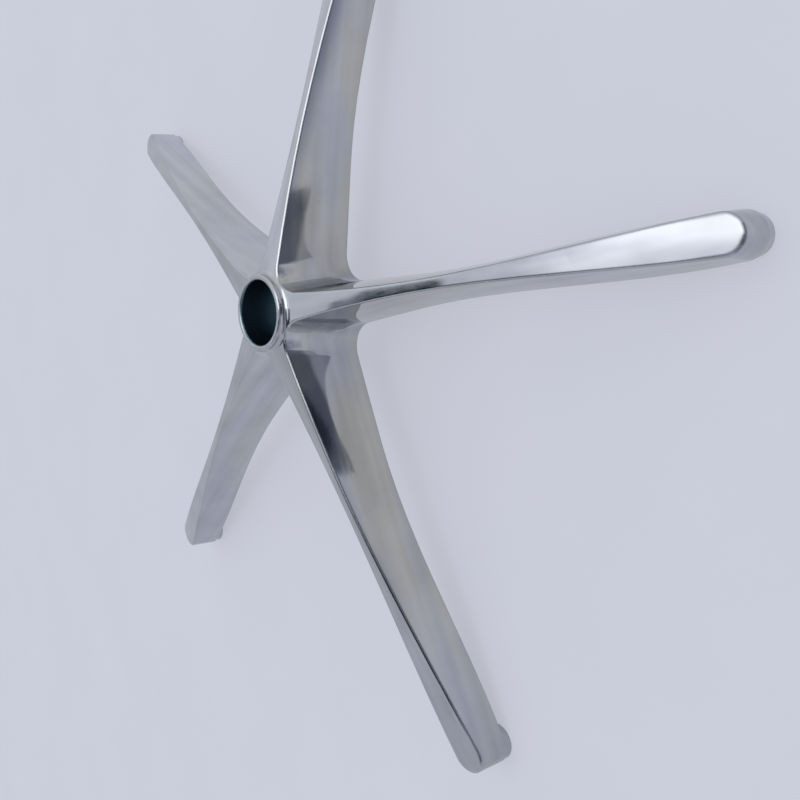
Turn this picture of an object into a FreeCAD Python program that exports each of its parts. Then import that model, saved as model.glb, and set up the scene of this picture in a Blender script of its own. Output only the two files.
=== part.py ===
"""Five star base of an office chair: one polished aluminium casting.

Z is up along the axis of the hub bore. Z = 0 is the plane of the five caster boss faces.
The first arm lies along +X, and the others follow it every 72 degrees.
"""
import FreeCAD, Part
import math
import os
from collections import Counter

Vec = FreeCAD.Vector
UP = Vec(0, 0, 1)
ORIGIN = Vec(0, 0, 0)

# Driving dimensions, in millimetres and degrees
arm_count = 5
caster_circle_radius = 347.5
hub_height = 98.4

# Bore for the gas lift: a straight lead-in, then a self-locking taper
column_radius = 25.0
lead_in_clearance = 0.2
lead_in_depth = 10.0
taper_half_angle = 1.438
mouth_chamfer = 0.8

# Collar round the mouth of the bore, with a concave foot on the arms
collar_wall = 4.2
collar_edge_chamfer = 0.7
collar_foot_radius = 3.4

# Top of an arm, seen from the side: a flat arc that would meet the axis below the collar's rim
collar_rise = 1.5
arm_top_at_caster = 32.7
arm_top_bow = 3.4
arm_top_crown_radius = 240.0
arm_edge_chamfer = 0.9
hem_chamfer = 0.6

# Half widths of an arm on its top edge and on its bottom edge
axis_top_half_width = 15.0
axis_bottom_half_width = 19.7
waist_distance = 158.0
waist_top_half_width = 3.95
waist_bottom_half_width = 11.1
tip_top_half_width = 12.2
tip_bottom_half_width = 14.3
tip_top_reach = 12.0
tip_bottom_reach = 13.0
axis_top_flare = 7.4
axis_bottom_flare = 3.0
crotch_radius = 20.0

# Bottom edge of an arm, seen from the side: level at the hub, then falling to the tip
skirt_height_at_hub = 30.0
skirt_level_length = 118.0
skirt_middle_distance = 250.0
skirt_height_at_middle = 19.4
skirt_height_at_tip = 4.6
skirt_slope_at_tip = 0.1

# Hollow underside
skirt_wall = 3.6
roof_thickness = 10.0
hub_tube_wall = 5.8
rib_thickness = 3.2
rib_setback = 9.0
rib_distances = (110.0, 190.0, 265.0)

# Boss and socket for the caster stem
boss_radius = 12.6
boss_draft = 1.0
stem_radius = 5.5
stem_clearance = 0.1
socket_depth = 23.0

# Construction allowances by which cutting bodies run past the casting
margin = 6.0
sector_half_width = 60.0
roof_allowance = 1.0

arm_angle = 360.0 / arm_count
arm_top_at_axis = hub_height - collar_rise
lead_in_radius = column_radius + lead_in_clearance
collar_radius = lead_in_radius + collar_wall
hub_tube_radius = lead_in_radius + hub_tube_wall
tip_end = caster_circle_radius + tip_bottom_reach
reach_all = tip_end + margin
top_slope = (arm_top_at_axis - arm_top_at_caster) / caster_circle_radius


def top_arc(drop):
    """Centreline arc of the arm's top, lowered by drop, carried past the axis and the tip."""
    half = caster_circle_radius / 2
    middle = (arm_top_at_axis + arm_top_at_caster) / 2 + arm_top_bow
    circle = Part.Circle(
        Vec(0, 0, arm_top_at_axis),
        Vec(half, 0, middle),
        Vec(caster_circle_radius, 0, arm_top_at_caster),
    )
    return circle.Center, circle.Radius - drop


def top_height(x, drop=0.0):
    """Height of the arm's top centreline at a distance x from the axis."""
    centre, radius = top_arc(drop)
    return centre.z + math.sqrt(radius ** 2 - (x - centre.x) ** 2)


def skirt_curve():
    """Bottom edge of the arm, seen from the side, from the axis past the tip."""
    fall = Part.BSplineCurve()
    fall.interpolate(
        Points=[
            Vec(skirt_level_length, 0, skirt_height_at_hub),
            Vec(skirt_middle_distance, 0, skirt_height_at_middle),
            Vec(reach_all, 0, skirt_height_at_tip),
        ],
        InitialTangent=Vec(1, 0, 0),
        FinalTangent=Vec(1, 0, -skirt_slope_at_tip),
    )
    level = Part.LineSegment(
        Vec(0, 0, skirt_height_at_hub), Vec(skirt_level_length, 0, skirt_height_at_hub)
    )
    return [level.toShape(), fall.toShape()]


def skirt_height(x):
    """Height of the arm's bottom edge at a distance x from the axis."""
    if x <= skirt_level_length:
        return skirt_height_at_hub
    fall = skirt_curve()[1].Curve
    return fall.value(fall.parameter(Vec(x, 0, skirt_height_at_middle))).z


def drafted(top_value, bottom_value, x, height):
    """A size at a height on the wall's straight draft between the two edges at x."""
    top, bottom = top_height(x), skirt_height(x)
    return bottom_value + (top_value - bottom_value) * (height - bottom) / (top - bottom)


def outline(height_at, inset):
    """Closed plan outline of one arm on the plane height_at(x), drawn in from the wall by inset."""
    caster = caster_circle_radius

    def point(x, top_value, bottom_value):
        wide = drafted(top_value, bottom_value, x, height_at(x)) - inset
        return Vec(x, wide, height_at(x))

    at_axis = point(0, axis_top_half_width, axis_bottom_half_width)
    at_waist = point(waist_distance, waist_top_half_width, waist_bottom_half_width)
    at_tip = point(caster, tip_top_half_width, tip_bottom_half_width)
    reach = drafted(tip_top_reach, tip_bottom_reach, caster, height_at(caster)) - inset
    end = Vec(caster + reach, 0, height_at(caster + reach))
    tip = Part.ArcOfCircle(at_tip, end, Vec(at_tip.x, -at_tip.y, at_tip.z))
    flare = math.radians(drafted(axis_top_flare, axis_bottom_flare, 0, height_at(0)))
    slope = height_at(1) - height_at(0)
    side = Part.BSplineCurve()
    side.interpolate(
        Points=[at_axis, at_waist, at_tip],
        InitialTangent=Vec(1, -math.tan(flare), slope),
        FinalTangent=tip.tangent(tip.FirstParameter)[0],
    )
    near = side.toShape()
    far = near.mirror(ORIGIN, Vec(0, 1, 0))
    across = Part.makeLine(Vec(at_axis.x, -at_axis.y, at_axis.z), at_axis)
    return Part.Wire(Part.__sortEdges__([near, tip.toShape(), far, across]))


def rotated(shape, index):
    """A copy of the shape at another arm's place."""
    copy = shape.copy()
    copy.rotate(ORIGIN, UP, index * arm_angle)
    return copy


def in_valley(edge):
    """Is this edge the meeting line of the first two arms' facing walls?"""
    box = edge.BoundBox
    near_hub = math.hypot(box.Center.x, box.Center.y) < 2 * collar_radius
    return near_hub and box.ZLength > hub_height / 2 and min(box.Center.x, box.Center.y) > 0


def arm_walls(inset, above):
    """Drafted walls of one arm, from below the boss faces to a plane set above the arm's top."""
    low = outline(lambda x: -margin, inset)
    high = outline(lambda x: arm_top_at_axis + above - top_slope * x, inset)
    return Part.makeLoft([low, high], True, True)


def sector_walls():
    """Walls of one arm from bisector to bisector, with half a crotch radius at each side."""
    above = arm_top_bow + 2 * margin
    arm = arm_walls(0, above)
    pair = arm.fuse(rotated(arm, 1))
    level = Vec(-reach_all, -reach_all, arm_top_at_axis + above - margin)
    lid = Part.makeBox(2 * reach_all, 2 * reach_all, hub_height, level)
    pair = pair.cut(lid).removeSplitter()
    pair = pair.makeFillet(crotch_radius, [edge for edge in pair.Edges if in_valley(edge)])
    near = pair.common(half_wedge())
    far = near.mirror(ORIGIN, Vec(0, 1, 0))
    return near.fuse(far).removeSplitter()


def half_wedge():
    """Prism from the middle of an arm to its bisector with the next arm."""
    half = math.radians(arm_angle / 2)
    corners = [ORIGIN, Vec(reach_all, 0, 0), Vec(reach_all, reach_all * math.tan(half), 0), ORIGIN]
    prism = Part.Face(Part.makePolygon(corners)).extrude(UP * 2 * hub_height)
    prism.translate(Vec(0, 0, -2 * margin))
    return prism


def under_top(drop):
    """Everything below the arm's crowned top, lowered by drop: a wide slice of a torus."""
    centre, radius = top_arc(drop)
    half = sector_half_width
    crown_centre = radius - arm_top_crown_radius
    shoulder = crown_centre + math.sqrt(arm_top_crown_radius ** 2 - half ** 2)
    floor = radius - 2 * hub_height
    left, right = Vec(0, -half, shoulder), Vec(0, half, shoulder)
    crown = Part.ArcOfCircle(left, Vec(0, 0, radius), right).toShape()
    sides = Part.makePolygon([right, Vec(0, half, floor), Vec(0, -half, floor), left])
    section = Part.Face(Part.Wire([crown] + sides.Edges))
    start = math.degrees(math.asin((-margin - centre.x) / radius))
    stop = math.degrees(math.asin((reach_all + hub_height - centre.x) / radius))
    section.rotate(ORIGIN, Vec(0, 1, 0), start)
    section.translate(centre)
    return section.revolve(centre, Vec(0, 1, 0), stop - start)


def under_skirt():
    """Everything below the arm's bottom edge."""
    deep = -2 * margin
    edge = skirt_curve()
    end = edge[-1].Vertexes[-1].Point
    closing = Part.makePolygon([end, Vec(end.x, 0, deep), Vec(0, 0, deep), Vec(0, 0, skirt_height_at_hub)])
    face = Part.Face(Part.Wire(edge + closing.Edges))
    face.translate(Vec(0, -sector_half_width, 0))
    return face.extrude(Vec(0, 2 * sector_half_width, 0))


def on_bisector(edge):
    """Does this edge lie on one of the two planes where neighbouring arms meet?"""
    middle = edge.valueAt((edge.FirstParameter + edge.LastParameter) / 2)
    return math.isclose(abs(math.atan2(middle.y, middle.x)), math.radians(arm_angle / 2), rel_tol=1e-4)


def rim(shape):
    """Edges between the crowned top and the walls."""
    tops = [face for face in shape.Faces if isinstance(face.Surface, Part.Toroid)]
    return [edge for edge in tops[0].Edges if not on_bisector(edge)]


def hem(shape):
    """Edges between the walls and the underside."""
    def faces_down(face):
        middle = face.Surface.parameter(face.CenterOfMass)
        return face.normalAt(*middle).z < -math.cos(math.radians(arm_angle / 2))

    undersides = [edge for face in shape.Faces if faces_down(face) for edge in face.Edges]
    counts = Counter(edge.hashCode() for edge in undersides)
    return [edge for edge in undersides if counts[edge.hashCode()] == 1 and not on_bisector(edge)]


def boss():
    """Round post for the caster stem, from its face up into the roof of the arm."""
    top = top_height(caster_circle_radius, roof_thickness / 2)
    wide = boss_radius + top * math.tan(math.radians(boss_draft))
    return Part.makeCone(boss_radius, wide, top, Vec(caster_circle_radius, 0, 0))


def socket():
    """Blind hole for the caster stem."""
    return Part.makeCylinder(stem_radius + stem_clearance, socket_depth, Vec(caster_circle_radius, 0, 0))


def ribs():
    """Cross ribs in the channel of the arm, set back from its bottom edge."""
    plates = []
    for distance in rib_distances:
        foot = skirt_height(distance) + rib_setback
        corner = Vec(distance - rib_thickness / 2, -sector_half_width, foot)
        plates.append(Part.makeBox(rib_thickness, 2 * sector_half_width, hub_height, corner))
    return plates


def channel():
    """Hollow under the arm, between its skirts, the hub tube, the ribs and the boss."""
    above = arm_top_bow - roof_thickness + roof_allowance
    hollow = arm_walls(skirt_wall, above).common(under_top(roof_thickness))
    tube = Part.makeCylinder(hub_tube_radius, 2 * hub_height, Vec(0, 0, -hub_height))
    return hollow.cut([tube, boss()] + ribs())


def collar():
    """Collar round the mouth: chamfered edge, straight wall, concave foot running out on the arms."""
    bevel = collar_edge_chamfer
    radius = collar_foot_radius
    fall = math.atan(top_slope)
    turn = (math.pi / 2 - fall) / 2
    middle = Vec(collar_radius + radius, 0, top_height(collar_radius + radius) + radius / math.cos(fall))
    ankle = middle - Vec(radius, 0, 0)
    arch = middle - Vec(radius * math.cos(turn), 0, radius * math.sin(turn))
    toe = middle - Vec(radius * math.sin(fall), 0, radius * math.cos(fall))
    sole = toe.z - margin
    rest = [
        toe,
        Vec(toe.x, 0, sole),
        Vec(0, 0, sole),
        Vec(0, 0, hub_height),
        Vec(collar_radius - bevel, 0, hub_height),
        Vec(collar_radius, 0, hub_height - bevel),
        ankle,
    ]
    foot = Part.Arc(ankle, arch, toe).toShape()
    profile = Part.Wire([foot] + Part.makePolygon(rest).Edges)
    return Part.Face(profile).revolve(ORIGIN, UP, 360)


def bore():
    """Hole through the hub: chamfered mouth, straight lead-in, taper that grips the gas lift."""
    lead_in_end = hub_height - lead_in_depth
    small = lead_in_radius - (lead_in_end - skirt_height_at_hub) * math.tan(math.radians(taper_half_angle))
    beyond = mouth_chamfer + margin
    profile = [
        Vec(0, 0, hub_height + margin),
        Vec(lead_in_radius + beyond, 0, hub_height + margin),
        Vec(lead_in_radius, 0, hub_height - mouth_chamfer),
        Vec(lead_in_radius, 0, lead_in_end),
        Vec(small, 0, skirt_height_at_hub + mouth_chamfer),
        Vec(small + beyond, 0, skirt_height_at_hub - margin),
        Vec(0, 0, skirt_height_at_hub - margin),
        Vec(0, 0, hub_height + margin),
    ]
    return Part.Face(Part.makePolygon(profile)).revolve(ORIGIN, UP, 360)


def sector(walls):
    """One arm with its share of the hub."""
    topped = walls.common(under_top(0))
    arm = topped.cut(under_skirt())
    arm = arm.makeChamfer(arm_edge_chamfer, rim(arm))
    arm = arm.makeChamfer(hem_chamfer, hem(arm))
    arm = arm.cut(channel())
    return arm.fuse(boss().common(topped)).cut(socket())


def star(arm):
    """All the arms joined at the hub."""
    return arm.multiFuse([rotated(arm, i) for i in range(1, arm_count)])


walls = sector_walls()
ring = collar().common(star(walls))
base = star(sector(walls)).fuse(ring).cut(bore()).removeSplitter()

os.makedirs("parts", exist_ok=True)
base.exportStep("parts/five_star_base.step")
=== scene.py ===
import bpy
import math
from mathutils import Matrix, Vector

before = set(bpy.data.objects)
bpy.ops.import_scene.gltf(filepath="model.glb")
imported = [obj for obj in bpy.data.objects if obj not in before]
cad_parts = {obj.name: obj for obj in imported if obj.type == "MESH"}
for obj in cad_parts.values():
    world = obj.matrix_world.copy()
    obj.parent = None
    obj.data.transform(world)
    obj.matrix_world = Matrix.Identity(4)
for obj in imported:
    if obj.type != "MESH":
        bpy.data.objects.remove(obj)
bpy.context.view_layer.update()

# The five star base: one pressure die casting of aluminium, trimmed, belt ground along the
# arms and buffed bright on every outer face. The channels under the arms stay as cast, and
# the hub bore, the caster sockets and the faces round them are machined.
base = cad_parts["five_star_base"]
arm_pitch = math.radians(72.0)
caster_circle = 0.3475
boss_radius = 0.0126


def linear(colour):
    """Linear colour of an sRGB hex value."""
    parts = [int(colour[i:i + 2], 16) / 255 for i in (1, 3, 5)]
    return [c / 12.92 if c <= 0.04045 else ((c + 0.055) / 1.055) ** 2.4 for c in parts] + [1.0]


def add(tree, kind, sockets, **settings):
    """Adds one node with its settings, and fills its sockets with values or links."""
    made = tree.nodes.new(kind)
    for name, value in settings.items():
        setattr(made, name, value)
    for name, value in sockets.items():
        if isinstance(value, bpy.types.NodeSocket):
            tree.links.new(value, made.inputs[name])
        else:
            made.inputs[name].default_value = value
    return made


# Buffed aluminium: a dark mirror with a soft edge to every reflection. Belt lines run down
# each arm, handling leaves dull smudges, and the buff leaves the faces very slightly wavy.
metal = bpy.data.materials.new("buffed_cast_aluminium")
metal.use_nodes = True
tree = metal.node_tree
tree.nodes.clear()

# Place on the arm: every arm is turned back on to +X, so x runs along it and y across it
place = add(tree, "ShaderNodeTexCoord", {}).outputs["Object"]
axes = add(tree, "ShaderNodeSeparateXYZ", {"Vector": place}).outputs
bearing = add(tree, "ShaderNodeMath", {0: axes["Y"], 1: axes["X"]}, operation="ARCTAN2").outputs[0]
shifted = add(tree, "ShaderNodeMath", {0: bearing, 1: arm_pitch / 2}, operation="ADD").outputs[0]
nearest = add(tree, "ShaderNodeMath", {0: shifted, 1: arm_pitch}, operation="SNAP").outputs[0]
turn = add(tree, "ShaderNodeMath", {0: nearest, 1: -1.0}, operation="MULTIPLY").outputs[0]
on_arm = add(tree, "ShaderNodeVectorRotate", {"Vector": place, "Angle": turn},
             rotation_type="Z_AXIS").outputs["Vector"]
# A different stretch of every pattern on each arm
own_slice = add(tree, "ShaderNodeCombineXYZ", {"Z": nearest}).outputs[0]
arm_place = add(tree, "ShaderNodeVectorMath", {0: on_arm, 1: own_slice},
                operation="ADD").outputs[0]

# Distances in plan from the axis of the hub and from the axis of the arm's caster socket
in_plan = add(tree, "ShaderNodeCombineXYZ", {"X": axes["X"], "Y": axes["Y"]}).outputs[0]
from_axis = add(tree, "ShaderNodeVectorMath", {0: in_plan}, operation="LENGTH").outputs["Value"]
arm_axes = add(tree, "ShaderNodeSeparateXYZ", {"Vector": on_arm}).outputs
arm_plan = add(tree, "ShaderNodeCombineXYZ", {"X": arm_axes["X"], "Y": arm_axes["Y"]}).outputs[0]
from_caster = add(tree, "ShaderNodeVectorMath", {0: arm_plan, 1: (caster_circle, 0.0, 0.0)},
                  operation="DISTANCE").outputs["Value"]

# Belt lines 150 mm long and 2.2 mm apart, coarser than the real 0.3 mm ones so that they show
line_length, line_gap = 0.15, 0.0022
belt_place = add(tree, "ShaderNodeVectorMath",
                 {0: arm_place, 1: (1 / line_length, 1 / line_gap, 1 / line_gap)},
                 operation="MULTIPLY").outputs[0]
belt = add(tree, "ShaderNodeTexNoise", {"Vector": belt_place, "Scale": 1.0, "Detail": 3.0,
                                        "Roughness": 0.6}).outputs["Fac"]
# Broad polishing passes, 300 mm long and 9 mm wide
pass_length, pass_width = 0.3, 0.009
pass_place = add(tree, "ShaderNodeVectorMath",
                 {0: arm_place, 1: (1 / pass_length, 1 / pass_width, 1 / pass_width)},
                 operation="MULTIPLY").outputs[0]
passes = add(tree, "ShaderNodeTexNoise", {"Vector": pass_place, "Scale": 1.0, "Detail": 1.0,
                                          "Roughness": 0.5}).outputs["Fac"]
# Smudges about 45 mm across
smudge_size = 0.045
smudge = add(tree, "ShaderNodeTexNoise", {"Vector": place, "Scale": 1 / smudge_size,
                                          "Detail": 3.0, "Roughness": 0.55}).outputs["Fac"]
# The waves of a hand held buff, about 60 mm long and 25 mm wide
wave_length, wave_width = 0.06, 0.025
wave_place = add(tree, "ShaderNodeVectorMath",
                 {0: arm_place, 1: (1 / wave_length, 1 / wave_width, 1 / wave_width)},
                 operation="MULTIPLY").outputs[0]
wave = add(tree, "ShaderNodeTexNoise", {"Vector": wave_place, "Scale": 1.0, "Detail": 0.0,
                                        "Roughness": 0.5}).outputs["Fac"]

# Faces below the collar that lean up less than the drafted walls belong to the channels and
# stay as cast
least_draft = 0.012
collar_foot = 0.085
flat_normal = add(tree, "ShaderNodeNewGeometry", {}).outputs["True Normal"]
facing = add(tree, "ShaderNodeSeparateXYZ", {"Vector": flat_normal}).outputs["Z"]
looks_down = add(tree, "ShaderNodeMath", {0: facing, 1: least_draft},
                 operation="LESS_THAN").outputs[0]
below_collar = add(tree, "ShaderNodeMath", {0: axes["Z"], 1: collar_foot},
                   operation="LESS_THAN").outputs[0]
down_low = add(tree, "ShaderNodeMath", {0: looks_down, 1: below_collar},
               operation="MULTIPLY").outputs[0]
# The bore is bored out, as far as the middle of the chamfer at its mouth
bore_reach = 0.0258
in_bore = add(tree, "ShaderNodeMath", {0: from_axis, 1: bore_reach},
              operation="LESS_THAN").outputs[0]
out_of_bore = add(tree, "ShaderNodeMath", {0: 1.0, 1: in_bore}, operation="SUBTRACT").outputs[0]
in_channel = add(tree, "ShaderNodeMath", {0: down_low, 1: out_of_bore},
                 operation="MULTIPLY").outputs[0]
# The sockets are drilled and the faces of the bosses milled, each found within a fine margin
socket_reach = 0.0058
boss_margin = 0.0004
face_margin = 0.0006
upward = 0.5
by_socket = add(tree, "ShaderNodeMath", {0: from_caster, 1: socket_reach},
                operation="LESS_THAN").outputs[0]
not_top = add(tree, "ShaderNodeMath", {0: facing, 1: upward}, operation="LESS_THAN").outputs[0]
in_socket = add(tree, "ShaderNodeMath", {0: by_socket, 1: not_top},
                operation="MULTIPLY").outputs[0]
by_boss = add(tree, "ShaderNodeMath", {0: from_caster, 1: boss_radius + boss_margin},
              operation="LESS_THAN").outputs[0]
on_ground = add(tree, "ShaderNodeMath", {0: axes["Z"], 1: face_margin},
                operation="LESS_THAN").outputs[0]
on_face = add(tree, "ShaderNodeMath", {0: on_ground, 1: by_boss}, operation="MULTIPLY").outputs[0]
milled = add(tree, "ShaderNodeMath", {0: in_socket, 1: on_face}, operation="MAXIMUM").outputs[0]
machined = add(tree, "ShaderNodeMath", {0: milled, 1: in_bore}, operation="MAXIMUM").outputs[0]
# The outside of the bosses is buffed with the arms
off_boss = add(tree, "ShaderNodeMath", {0: from_caster, 1: boss_radius, 2: boss_margin},
               operation="COMPARE").outputs[0]
worked_on = add(tree, "ShaderNodeMath", {0: milled, 1: off_boss}, operation="MAXIMUM").outputs[0]
left_alone = add(tree, "ShaderNodeMath", {0: 1.0, 1: worked_on}, operation="SUBTRACT").outputs[0]
as_cast = add(tree, "ShaderNodeMath", {0: in_channel, 1: left_alone},
              operation="MULTIPLY").outputs[0]

# Colour: cool where the buff cut clean and flat grey as cast. Over the buffed skin, painted
# reflections in patches about 140 mm long: a little olive in some, a breath of lilac in others.
# The bore is painted dark teal-grey, as painted shade.
cut_clean, olive_painted_reflection, lilac_painted_reflection = linear("#b4b7bd"), linear("#b9b8b2"), linear("#b2b4bd")
cast_grey, bore_painted_shade = linear("#a3a5a8"), linear("#758a94")
tint_length, tint_width, tint_start = 0.14, 0.03, 0.13
tint_place = add(tree, "ShaderNodeVectorMath",
                 {0: arm_place, 1: (1 / tint_length, 1 / tint_width, 1 / tint_width),
                  2: (tint_start / tint_length, 0.0, 0.0)}, operation="MULTIPLY_ADD").outputs[0]
tint_noise = add(tree, "ShaderNodeTexNoise", {"Vector": tint_place, "Scale": 1.0, "Detail": 2.0,
                                        "Roughness": 0.5}).outputs["Fac"]
# The painted reflection tint leans olive on the inner half of an arm and lilac on the outer half
inner = add(tree, "ShaderNodeMapRange", {"Value": arm_axes["X"], "From Min": 0.19,
                                         "From Max": 0.26, "To Min": 0.07,
                                         "To Max": -0.08}).outputs[0]
tint_amount = add(tree, "ShaderNodeMath", {0: tint_noise, 1: inner}, operation="ADD").outputs[0]
olive = add(tree, "ShaderNodeMapRange", {"Value": tint_amount, "From Min": 0.46,
                                         "From Max": 0.66}).outputs[0]
lilac = add(tree, "ShaderNodeMapRange", {"Value": tint_amount, "From Min": 0.50,
                                         "From Max": 0.36}).outputs[0]
# The painted olive is stronger on walls than on tops
on_wall = add(tree, "ShaderNodeMapRange", {"Value": facing, "From Min": 0.4, "From Max": 0.8,
                                           "To Min": 1.0, "To Max": 0.2}).outputs[0]
olive = add(tree, "ShaderNodeMath", {0: olive, 1: on_wall}, operation="MULTIPLY").outputs[0]
# Most of the painted olive goes on the two arms that lie nearest to the Y axis
across_x = add(tree, "ShaderNodeMath", {0: nearest}, operation="SINE").outputs[0]
squared = add(tree, "ShaderNodeMath", {0: across_x, 1: 2.0}, operation="POWER").outputs[0]
on_y_arms = add(tree, "ShaderNodeMapRange", {"Value": squared, "From Min": 0.3, "From Max": 0.9,
                                           "To Min": 0.3, "To Max": 1.0}).outputs[0]
olive = add(tree, "ShaderNodeMath", {0: olive, 1: on_y_arms}, operation="MULTIPLY").outputs[0]
# Painted reflections: the olive tint, then the lilac tint, mixed over the clean cut colour
olive_tinted = add(tree, "ShaderNodeMix", {"Factor": olive, "A": cut_clean, "B": olive_painted_reflection},
            data_type="RGBA").outputs[2]
tone = add(tree, "ShaderNodeMix", {"Factor": lilac, "A": olive_tinted, "B": lilac_painted_reflection},
           data_type="RGBA").outputs[2]
# The buff's own passes and the smudges change how much the skin gives back, by a tenth
blotch = add(tree, "ShaderNodeMath", {0: smudge, 1: passes}, operation="ADD").outputs[0]
give = add(tree, "ShaderNodeMapRange", {"Value": blotch, "From Min": 0.7, "From Max": 1.3,
                                        "To Min": 0.88, "To Max": 1.10}).outputs[0]
buffed = add(tree, "ShaderNodeVectorMath", {0: tone, "Scale": give}, operation="SCALE").outputs[0]
skin = add(tree, "ShaderNodeMix", {"Factor": as_cast, "A": buffed, "B": cast_grey},
           data_type="RGBA").outputs[2]
# The bore is painted dark teal-grey: painted shade in the hole
skin_and_bore_shade = add(tree, "ShaderNodeMix", {"Factor": in_bore, "A": skin, "B": bore_painted_shade},
              data_type="RGBA").outputs[2]

# Roughness: belt lines, smudges and passes on the bright skin, duller where it is machined,
# and coarse as cast
machined_roughness, cast_roughness = 0.24, 0.46
lines = add(tree, "ShaderNodeMapRange", {"Value": belt, "From Min": 0.3, "From Max": 0.7,
                                         "To Min": 0.036, "To Max": 0.072}).outputs[0]
dull = add(tree, "ShaderNodeMapRange", {"Value": smudge, "From Min": 0.5, "From Max": 0.72,
                                        "To Min": 0.0, "To Max": 0.045}).outputs[0]
worked = add(tree, "ShaderNodeMapRange", {"Value": passes, "From Min": 0.35, "From Max": 0.7,
                                          "To Min": 0.0, "To Max": 0.03}).outputs[0]
bright = add(tree, "ShaderNodeMath", {0: lines, 1: dull}, operation="ADD").outputs[0]
bright = add(tree, "ShaderNodeMath", {0: bright, 1: worked}, operation="ADD").outputs[0]
turned = add(tree, "ShaderNodeMix", {"Factor": machined, "A": bright,
                                     "B": machined_roughness}).outputs[0]
gloss = add(tree, "ShaderNodeMix", {"Factor": as_cast, "A": turned,
                                    "B": cast_roughness}).outputs[0]

# Relief: the buff eases sharp edges over 1.6 mm, over 2.5 mm more round the tops of the tips
# and over 1 mm more round the collar
edge_easing, tip_easing, collar_easing = 0.0016, 0.0025, 0.0010
arm_fall = 0.185
level = add(tree, "ShaderNodeVectorMath", {0: on_arm, 1: (arm_fall, 0.0, 1.0)},
            operation="DOT_PRODUCT").outputs["Value"]
at_tip = add(tree, "ShaderNodeMapRange", {"Value": arm_axes["X"], "From Min": 0.32,
                                          "From Max": 0.356}).outputs[0]
at_top = add(tree, "ShaderNodeMapRange", {"Value": level, "From Min": 0.082,
                                          "From Max": 0.088}).outputs[0]
round_tip = add(tree, "ShaderNodeMath", {0: at_tip, 1: at_top}, operation="MULTIPLY").outputs[0]
easing = add(tree, "ShaderNodeMath", {0: round_tip, 1: tip_easing, 2: edge_easing},
             operation="MULTIPLY_ADD").outputs[0]
at_collar = add(tree, "ShaderNodeMapRange", {"Value": from_axis, "From Min": 0.034,
                                             "From Max": 0.028}).outputs[0]
easing = add(tree, "ShaderNodeMath", {0: at_collar, 1: collar_easing, 2: easing},
             operation="MULTIPLY_ADD").outputs[0]
eased = add(tree, "ShaderNodeBevel", {"Radius": easing}, samples=8).outputs[0]
# It leaves the walls crowned by about 1 mm, so that they lean out at the top and in lower down
lean = add(tree, "ShaderNodeMapRange", {"Value": level, "From Min": 0.0445, "From Max": 0.0845,
                                        "To Min": -0.04, "To Max": 0.075}).outputs[0]
upright = add(tree, "ShaderNodeMapRange", {"Value": facing, "From Min": 0.4, "From Max": 0.8,
                                           "To Min": 1.0, "To Max": 0.0}).outputs[0]
wall_lean = add(tree, "ShaderNodeMath", {0: lean, 1: upright}, operation="MULTIPLY").outputs[0]
lift = add(tree, "ShaderNodeCombineXYZ", {"Z": wall_lean}).outputs[0]
leaning = add(tree, "ShaderNodeVectorMath", {0: eased, 1: lift}, operation="ADD").outputs[0]
crowned = add(tree, "ShaderNodeVectorMath", {0: leaning}, operation="NORMALIZE").outputs[0]
# It also leaves every face wavy by 25 microns and lined by 1
wave_height, line_height = 0.000025, 0.000001
wavy = add(tree, "ShaderNodeBump", {"Height": wave, "Distance": wave_height, "Strength": 1.0,
                                    "Normal": crowned}).outputs[0]
lined = add(tree, "ShaderNodeBump", {"Height": belt, "Distance": line_height, "Strength": 1.0,
                                     "Normal": wavy}).outputs[0]
# Tool rings 0.6 mm apart and 3 microns high in the bore and on the bosses
ring_pitch, ring_height = 0.0006, 0.000003
across = add(tree, "ShaderNodeMix", {"Factor": in_bore, "A": from_caster,
                                     "B": axes["Z"]}).outputs[0]
phase = add(tree, "ShaderNodeMath", {0: across, 1: math.tau / ring_pitch},
            operation="MULTIPLY").outputs[0]
rings = add(tree, "ShaderNodeMath", {0: phase}, operation="SINE").outputs[0]
ringed = add(tree, "ShaderNodeBump", {"Height": rings, "Distance": ring_height,
                                      "Strength": machined, "Normal": lined}).outputs[0]
# The grain of the die, about 0.9 mm across and 40 microns high, as cast
grain_size, grain_height = 0.0009, 0.00004
grain = add(tree, "ShaderNodeTexNoise", {"Vector": place, "Scale": 1 / grain_size,
                                         "Detail": 2.0}).outputs["Fac"]
grained = add(tree, "ShaderNodeBump", {"Height": grain, "Distance": grain_height,
                                       "Strength": as_cast, "Normal": ringed}).outputs[0]

surface = add(tree, "ShaderNodeBsdfPrincipled", {"Base Color": skin_and_bore_shade, "Metallic": 1.0,
                                                 "Roughness": gloss, "Normal": grained})
add(tree, "ShaderNodeOutputMaterial", {"Surface": surface.outputs[0]})
base.material_slots[0].material = metal

# The floor: a large sheet of pale painted board that the caster bosses stand on. It gives the
# plain ground behind the base in the picture, with a slight lavender cast.
floor_half = 8.0
floor_corners = [(-floor_half, -floor_half, 0), (floor_half, -floor_half, 0),
                 (floor_half, floor_half, 0), (-floor_half, floor_half, 0)]
floor_mesh = bpy.data.meshes.new("floor")
floor_mesh.from_pydata(floor_corners, [], [(0, 1, 2, 3)])
floor = bpy.data.objects.new("floor", floor_mesh)
bpy.context.scene.collection.objects.link(floor)

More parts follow.
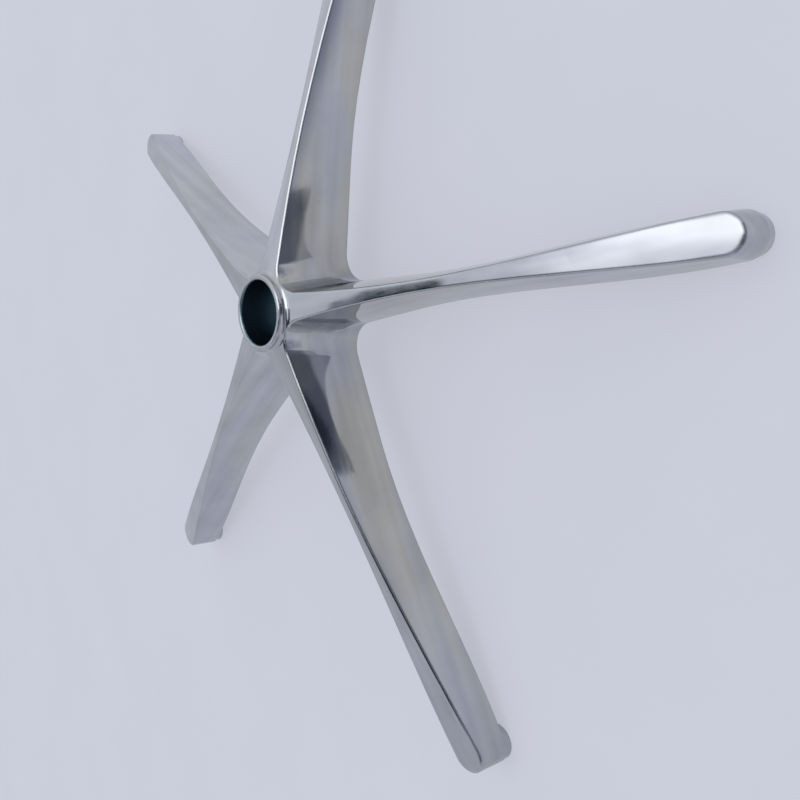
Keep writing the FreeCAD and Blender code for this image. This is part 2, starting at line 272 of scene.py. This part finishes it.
# Matt paint: no shine of its own, and roller marks about 120 mm across that barely show
lavender_grey, roller_mark, roller_size = "#cbced9", "#d0d2dd", 0.12
paint = bpy.data.materials.new("matt_wall_paint")
paint.use_nodes = True
tree = paint.node_tree
tree.nodes.clear()
place = add(tree, "ShaderNodeTexCoord", {}).outputs["Object"]
roller = add(tree, "ShaderNodeTexNoise", {"Vector": place, "Scale": 1 / roller_size,
                                          "Detail": 3.0}).outputs["Fac"]
coat = add(tree, "ShaderNodeMix", {"Factor": roller, "A": linear(lavender_grey),
                                   "B": linear(roller_mark)}, data_type="RGBA").outputs[2]
surface = add(tree, "ShaderNodeBsdfPrincipled", {"Base Color": coat, "Roughness": 0.85,
                                                 "Specular IOR Level": 0.15})
# Part of its own pale colour is lent to the eye and to the metal, so its shadows stay soft
lent_to_eye, lent_to_metal = 0.68, 0.76
ray = add(tree, "ShaderNodeLightPath", {}).outputs
lent = add(tree, "ShaderNodeMath", {0: ray["Is Glossy Ray"], 1: lent_to_metal},
           operation="MULTIPLY").outputs[0]
share = add(tree, "ShaderNodeMath", {0: ray["Is Camera Ray"], 1: lent_to_eye, 2: lent},
            operation="MULTIPLY_ADD").outputs[0]
# Painted light seen only by the metal: the floor glows brighter behind the base, most of all on
# the +Y side
spot = add(tree, "ShaderNodeSeparateXYZ", {"Vector": place}).outputs
nearby = add(tree, "ShaderNodeMapRange", {"Value": spot["X"], "From Min": 0.0, "From Max": 0.34,
                                          "To Min": 0.97, "To Max": 1.20}).outputs[0]
behind = add(tree, "ShaderNodeMapRange", {"Value": spot["X"], "From Min": 0.05,
                                          "From Max": -0.12}).outputs[0]
lit = add(tree, "ShaderNodeMapRange", {"Value": spot["Y"], "From Min": -0.3, "From Max": 0.3,
                                       "To Min": 0.18, "To Max": 0.49}).outputs[0]
glow = add(tree, "ShaderNodeMath", {0: behind, 1: lit, 2: nearby},
           operation="MULTIPLY_ADD").outputs[0]
# Beyond the tip of the near arm the floor is painted dim and blue for the metal, as painted shade
front = add(tree, "ShaderNodeMapRange", {"Value": spot["X"], "From Min": 0.44,
                                         "From Max": 0.60}).outputs[0]
dim = add(tree, "ShaderNodeMapRange", {"Value": front, "To Min": 1.0, "To Max": 0.42}).outputs[0]
glow = add(tree, "ShaderNodeMath", {0: glow, 1: dim}, operation="MULTIPLY").outputs[0]
mirrored = add(tree, "ShaderNodeMix", {"Factor": front, "A": linear("#cdcfd6"),
                                       "B": linear("#a2abc3")}, data_type="RGBA").outputs[2]
# The eye finds it plain
plain_glow = 1.05
strength = add(tree, "ShaderNodeMix", {"Factor": ray["Is Camera Ray"], "A": glow,
                                       "B": plain_glow}).outputs[0]
hue = add(tree, "ShaderNodeMix", {"Factor": ray["Is Camera Ray"], "A": mirrored, "B": coat},
          data_type="RGBA").outputs[2]
pale = add(tree, "ShaderNodeEmission", {"Color": hue, "Strength": strength})
ground = add(tree, "ShaderNodeMixShader", {0: share, 1: surface.outputs[0], 2: pale.outputs[0]})
add(tree, "ShaderNodeOutputMaterial", {"Surface": ground.outputs[0]})
floor_mesh.materials.append(paint)

# The light: a soft white studio, all round and overhead. It is brightest at a point a little
# off overhead, and falls off to a plain pale grey lower down, least of all on the +Y side.
studio = bpy.data.worlds.new("soft_white_studio")
bpy.context.scene.world = studio
studio.use_nodes = True
tree = studio.node_tree
tree.nodes.clear()
way = add(tree, "ShaderNodeTexCoord", {}).outputs["Generated"]
bright_side = Vector((-0.2, 0.6, 0.77)).normalized()
sideways = add(tree, "ShaderNodeVectorMath", {0: way, 1: bright_side},
               operation="DOT_PRODUCT").outputs["Value"]
around = add(tree, "ShaderNodeMapRange", {"Value": sideways, "From Min": 0.55, "From Max": 0.85,
                                          "To Min": 0.70, "To Max": 1.0}).outputs[0]
# The lamp overhead, with a brighter core
overhead = Vector((-0.042, 0.238, 0.970)).normalized()
lamp_gain, core_gain = 0.9, 0.3
nearness = add(tree, "ShaderNodeVectorMath", {0: way, 1: overhead},
               operation="DOT_PRODUCT").outputs["Value"]
lamp = add(tree, "ShaderNodeMapRange", {"Value": nearness, "From Min": 0.94,
                                        "From Max": 0.998}).outputs[0]
above = add(tree, "ShaderNodeMath", {0: lamp, 1: lamp_gain, 2: around},
            operation="MULTIPLY_ADD").outputs[0]
core = add(tree, "ShaderNodeMapRange", {"Value": nearness, "From Min": 0.976,
                                        "From Max": 0.990}).outputs[0]
above = add(tree, "ShaderNodeMath", {0: core, 1: core_gain, 2: above},
            operation="MULTIPLY_ADD").outputs[0]
# The eye sees the floor's own colour beyond its edge
seen = add(tree, "ShaderNodeLightPath", {}).outputs["Is Camera Ray"]
level = add(tree, "ShaderNodeMix", {"Factor": seen, "A": above, "B": 1.0}).outputs[0]
white = add(tree, "ShaderNodeMix", {"Factor": lamp, "A": linear("#f4f7ff"),
                                    "B": linear("#ffffff")}, data_type="RGBA").outputs[2]
tint = add(tree, "ShaderNodeMix", {"Factor": seen, "A": white, "B": linear(lavender_grey)},
           data_type="RGBA").outputs[2]
light = add(tree, "ShaderNodeBackground", {"Color": tint, "Strength": level})
add(tree, "ShaderNodeOutputWorld", {"Surface": light.outputs[0]})

# Flags: dark cloth panels and one white card, hung far off, level above the base and upright
# in front of it. Only the metal sees them: the cloth gives its edges and the top of the near
# arm their dark lines, and the card gives the rims their bright ones.
high = 6.0
card_strength = 2.2
flags = {
    "near_flag": ("#0e2630", (-3.55, -4.6, high), (-2.60, -4.6, high), (-2.60, 0.57, high),
                  (-3.55, 0.57, high)),
    "soft_flag": ("#9196a2", (-4.05, -1.8, high), (-3.55, -1.8, high), (-3.55, 0.52, high),
                  (-4.05, 0.40, high)),
    "side_flag": ("#343a46", (-4.8, -4.6, high), (-3.55, -4.6, high), (-3.55, -1.8, high),
                  (-4.8, -1.8, high)),
    "far_flag": ("#3a3f4b", (-2.60, -4.2, high), (1.4, -3.0, high), (1.4, -1.3, high),
                 (-2.60, -0.6, high)),
    "rim_flag": ("#3a3f4b", (1.4, -3.0, high), (5.0, -2.2, high), (5.0, -0.15, high),
                 (1.4, -0.45, high)),
    "white_card": ("#ffffff", (0.3, 0.2, high), (4.8, 0.2, high), (4.8, 4.8, high),
                   (0.3, 4.8, high)),
    "corner_flag": ("#828894", (1.8, -5.2, 1.3), (5.0, -2.2, 1.3), (5.0, -2.2, 5.5),
                    (1.8, -5.2, 6.0)),
    "front_flag": ("#868a96", (5.0, 3.0, 1.3), (5.0, -2.2, 1.3), (5.0, -2.2, 5.0),
                   (5.0, 3.0, 5.0)),
    "low_flag": ("#3a4157", (5.0, 3.0, 0.02), (5.0, -4.2, 0.02), (5.0, -4.2, 1.3),
                 (5.0, 3.0, 1.3)),
}
for name, (shade, *corners) in flags.items():
    flag_mesh = bpy.data.meshes.new(name)
    flag_mesh.from_pydata(corners, [], [(0, 1, 2, 3)])
    flag = bpy.data.objects.new(name, flag_mesh)
    bpy.context.scene.collection.objects.link(flag)
    cloth = bpy.data.materials.new(name + "_cloth")
    cloth.use_nodes = True
    cloth.node_tree.nodes.clear()
    strength = card_strength if name == "white_card" else 1.0
    matt = add(cloth.node_tree, "ShaderNodeEmission", {"Color": linear(shade),
                                                       "Strength": strength})
    add(cloth.node_tree, "ShaderNodeOutputMaterial", {"Surface": matt.outputs[0]})
    flag_mesh.materials.append(cloth)
    flag.visible_camera = False
    flag.visible_diffuse = False
    flag.visible_shadow = False

# The camera: it stands over the tip of one arm and looks across the hub, with the framing of
# the picture. Its focal length is given in pixels of a frame 800 pixels wide.
sensor, focal_pixels, frame_pixels = 36.0, 898.87, 800
lens = bpy.data.cameras.new("camera")
lens.sensor_width = sensor
lens.lens = sensor * focal_pixels / frame_pixels
lens.shift_x = -0.0003
lens.shift_y = -0.1045
lens.clip_start = 0.02
lens.clip_end = 60.0
camera = bpy.data.objects.new("camera", lens)
camera.location = (0.58618, -0.0429, 0.46597)
camera.rotation_euler = [math.radians(a) for a in (-4.9054, 48.8199, -9.6347)]
bpy.context.scene.collection.objects.link(camera)
bpy.context.scene.camera = camera
bpy.context.scene.view_settings.view_transform = "Standard"
